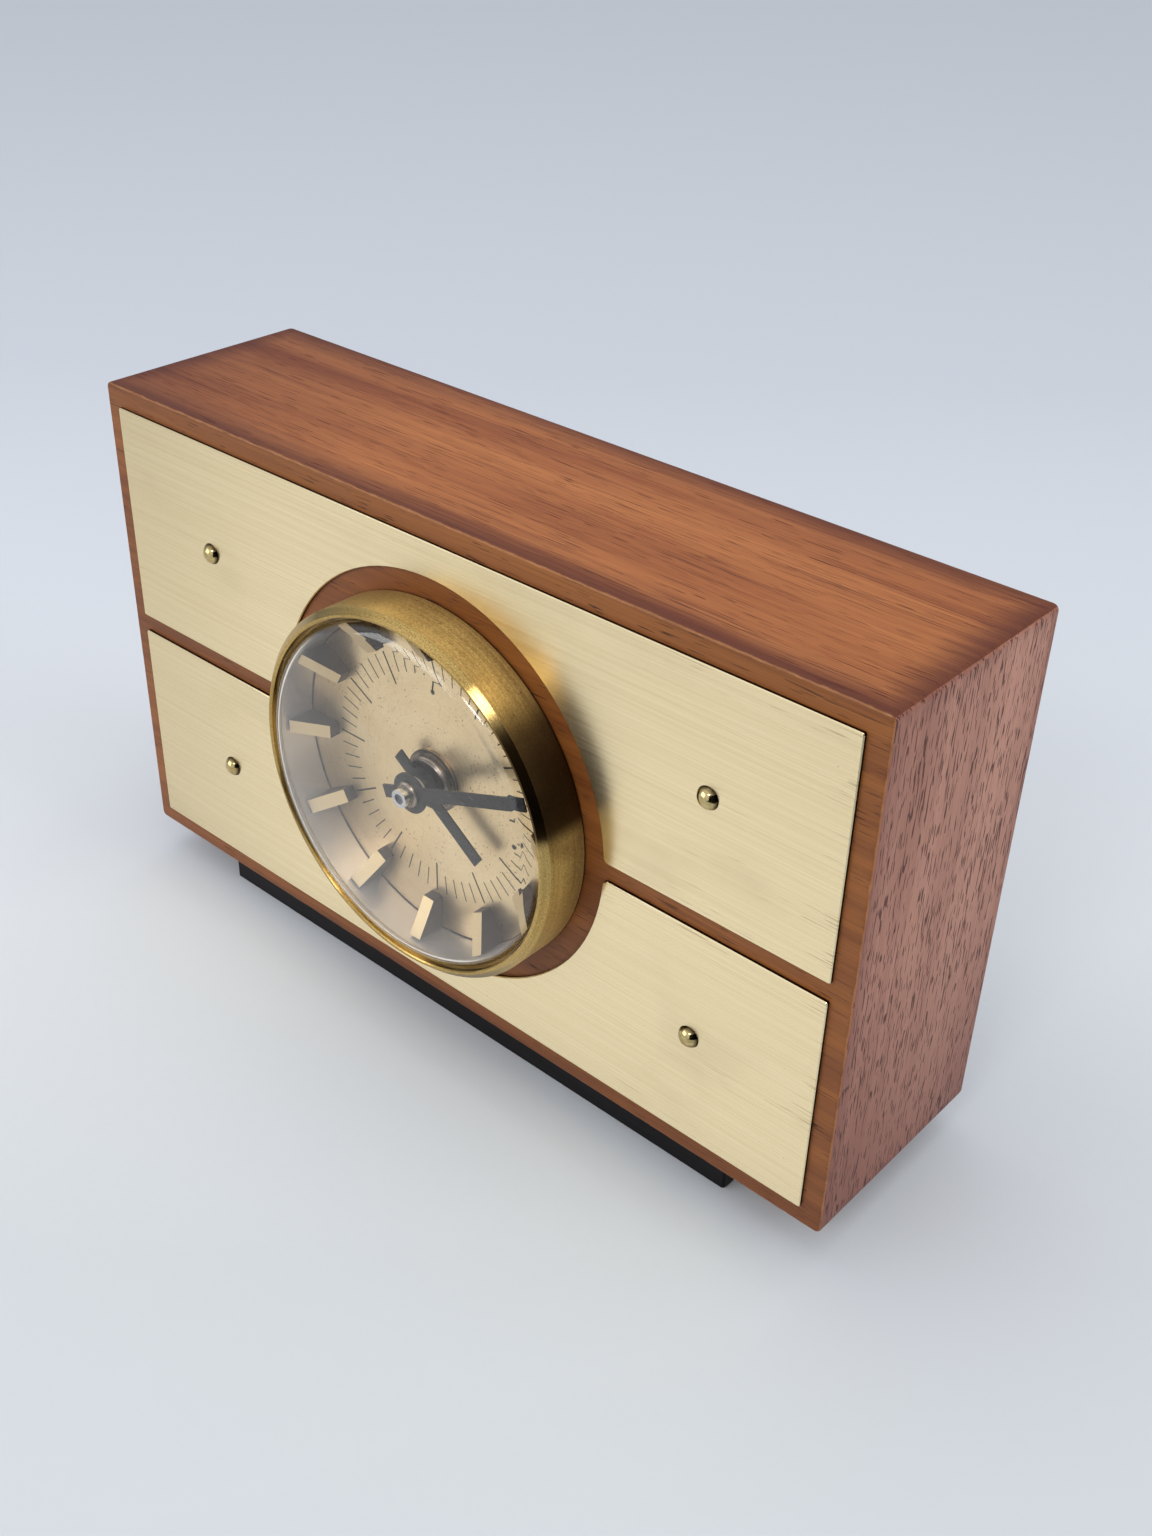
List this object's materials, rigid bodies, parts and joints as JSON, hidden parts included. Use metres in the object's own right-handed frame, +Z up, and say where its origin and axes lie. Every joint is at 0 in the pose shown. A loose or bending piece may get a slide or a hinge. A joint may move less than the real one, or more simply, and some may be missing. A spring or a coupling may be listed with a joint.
{
  "type": "table clock",
  "caption": "Table clock in a wooden case on a black plinth, with brass front plates, a round brass bezel, domed crystal, raised wedge markers and a battery movement.",
  "frame": {"origin": "middle of the plinth's underside", "axes": "+X along the case to the viewer's right, the dial faces -Y, +Z up"},
  "size_m": [0.25, 0.0845, 0.1525],
  "materials": {
    "front_veneer": "oiled veneer, grain along the front",
    "top_veneer": "oiled veneer, grain along the top",
    "side_veneer": "open-pored veneer, grain upright",
    "inner_wood": "plain sawn softwood",
    "hardboard": "pressed hardboard, smooth face outside",
    "plinth_black": "black lacquer",
    "plate_brass": "brushed lengthwise, lacquered",
    "pin_brass": "polished",
    "bezel_brass": "turned, aged",
    "crystal_acrylic": "clear, domed",
    "dial_gold": "circular brushed, speckled with age",
    "marker_gold": "faceted, polished top",
    "hand_black": "satin black",
    "nut_brass": "turned",
    "bronze_washer": "bronzed",
    "screw_steel": "zinc plated",
    "movement_plastic": "moulded",
    "wheel_plastic": "moulded acetal",
    "arbor_steel": "turned",
    "knob_plastic": "moulded, fluted rim",
    "stator_steel": "stamped",
    "coil_copper": "wound enamelled wire",
    "circuit_green": "printed board",
    "chip_black": "moulded",
    "can_silver": "drawn",
    "contact_steel": "sprung, plated",
    "battery_sleeve": "printed sleeve, left bare"
  },
  "bodies": {
    "case": {"front_board": "front_veneer", "top_board": "top_veneer", "bottom_board": "top_veneer", "left_board": "side_veneer", "right_board": "side_veneer", "corner_blocks": "inner_wood", "back_panel": "hardboard", "back_screws": "screw_steel", "plinth": "plinth_black", "plinth_screws": "screw_steel", "upper_plate": "plate_brass", "lower_plate": "plate_brass", "plate_pins": "pin_brass", "bezel": "bezel_brass", "bezel_screws": "screw_steel", "crystal": "crystal_acrylic", "dial": "dial_gold", "hour_markers": "marker_gold", "fixing_washer": "nut_brass", "fixing_nut": "nut_brass", "movement_case": "movement_plastic", "movement_cover": "movement_plastic", "circuit_board": "circuit_green", "quartz_can": "can_silver", "driver_chip": "chip_black", "coil": "coil_copper", "stator": "stator_steel", "battery": "battery_sleeve", "positive_contact": "contact_steel", "negative_contact": "contact_steel"},
    "minute_hand": {"minute_arbor": "arbor_steel", "minute_hand": "hand_black", "minute_collet": "arbor_steel", "hand_washer": "bronze_washer", "hand_nut": "can_silver"},
    "hour_hand": {"hour_wheel": "nut_brass", "hour_hand": "hand_black"},
    "motion_wheel": {"motion_wheel": "wheel_plastic"},
    "setting_knob": {"setting_knob": "knob_plastic"},
    "third_pinion": {"third_pinion": "arbor_steel"},
    "third_wheel": {"third_wheel": "wheel_plastic"},
    "second_wheel": {"second_wheel": "wheel_plastic"},
    "middle_wheel": {"middle_wheel": "wheel_plastic"},
    "rotor": {"rotor": "wheel_plastic"}
  },
  "joints": [
    {"name": "minute_hand_spin", "type": "hinge", "parent": "case", "child": "minute_hand", "pos_m": [0, 0, 0.08175], "axis": [0, 1, 0], "continuous": true},
    {"name": "hour_hand_spin", "type": "hinge", "parent": "case", "child": "hour_hand", "pos_m": [0, 0, 0.08175], "axis": [0, 1, 0], "continuous": true},
    {"name": "motion_wheel_spin", "type": "hinge", "parent": "case", "child": "motion_wheel", "pos_m": [-0.00831, 0, 0.08655], "axis": [0, 1, 0], "continuous": true},
    {"name": "setting_knob_spin", "type": "hinge", "parent": "case", "child": "setting_knob", "pos_m": [-0.01846, 0, 0.08286], "axis": [0, 1, 0], "continuous": true},
    {"name": "third_pinion_spin", "type": "hinge", "parent": "case", "child": "third_pinion", "pos_m": [0.00886, 0, 0.08331], "axis": [0, 1, 0], "continuous": true},
    {"name": "third_wheel_spin", "type": "hinge", "parent": "case", "child": "third_wheel", "pos_m": [0.00886, 0, 0.08331], "axis": [0, 1, 0], "continuous": true},
    {"name": "second_wheel_spin", "type": "hinge", "parent": "case", "child": "second_wheel", "pos_m": [0.01311, 0, 0.09067], "axis": [0, 1, 0], "continuous": true},
    {"name": "middle_wheel_spin", "type": "hinge", "parent": "case", "child": "middle_wheel", "pos_m": [0.00961, 0, 0.09674], "axis": [0, 1, 0], "continuous": true},
    {"name": "rotor_spin", "type": "hinge", "parent": "case", "child": "rotor", "pos_m": [0.0037, 0, 0.09778], "axis": [0, 1, 0], "continuous": true}
  ],
  "couplings": [
    {"joint": "motion_wheel_spin", "follows": "minute_hand_spin", "ratio": -0.33333},
    {"joint": "hour_hand_spin", "follows": "minute_hand_spin", "ratio": 0.083333},
    {"joint": "setting_knob_spin", "follows": "minute_hand_spin", "ratio": 0.66667},
    {"joint": "third_pinion_spin", "follows": "minute_hand_spin", "ratio": -8},
    {"joint": "middle_wheel_spin", "follows": "rotor_spin", "ratio": -0.2},
    {"joint": "second_wheel_spin", "follows": "rotor_spin", "ratio": 0.033333},
    {"joint": "third_wheel_spin", "follows": "rotor_spin", "ratio": -0.0044444}
  ]
}
